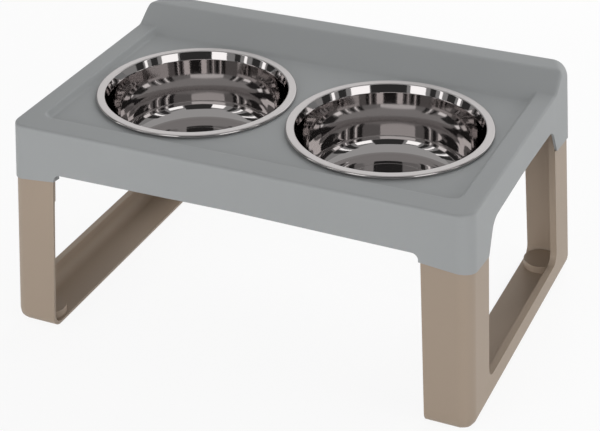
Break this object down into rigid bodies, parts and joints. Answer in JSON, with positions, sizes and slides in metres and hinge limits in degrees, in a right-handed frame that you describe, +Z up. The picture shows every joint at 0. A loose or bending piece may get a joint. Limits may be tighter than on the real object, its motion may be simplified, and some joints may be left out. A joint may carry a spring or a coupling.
{
  "type": "raised dog feeder",
  "caption": "Raised feeding table: moulded tray with a splash back, lift-out steel bowls hung in round openings, and plug-in U-shaped leg frames on rubber feet.",
  "frame": {"origin": "on the floor below the middle of the tray", "axes": "+X towards the right end as seen from the front, +Y towards the splash back at the rear, +Z up"},
  "size_m": [0.5876, 0.3894, 0.288],
  "materials": {
    "tray": "matt grey moulded plastic with a fine texture",
    "legs": "matt taupe moulded plastic with a fine texture",
    "bowls": "polished inside, satin on the rolled rim",
    "feet": "matt"
  },
  "bodies": {
    "tray": {"tray": "tray"},
    "bowl_left": {"bowl_left": "bowls"},
    "bowl_right": {"bowl_right": "bowls"},
    "leg_left": {"leg_left": "legs", "foot_front_left": "feet", "foot_rear_left": "feet"},
    "leg_right": {"leg_right": "legs", "foot_front_right": "feet", "foot_rear_right": "feet"}
  },
  "joints": [
    {"name": "bowl_left_lift", "type": "slide", "parent": "tray", "child": "bowl_left", "axis": [0, 0, 1], "range_m": [0, 0.12]},
    {"name": "bowl_right_lift", "type": "slide", "parent": "tray", "child": "bowl_right", "axis": [0, 0, 1], "range_m": [0, 0.12]},
    {"name": "leg_left_unplug", "type": "slide", "parent": "tray", "child": "leg_left", "axis": [-0.0663, 0, -0.9978], "range_m": [0, 0.1]},
    {"name": "leg_right_unplug", "type": "slide", "parent": "tray", "child": "leg_right", "axis": [0.0663, 0, -0.9978], "range_m": [0, 0.1]}
  ]
}
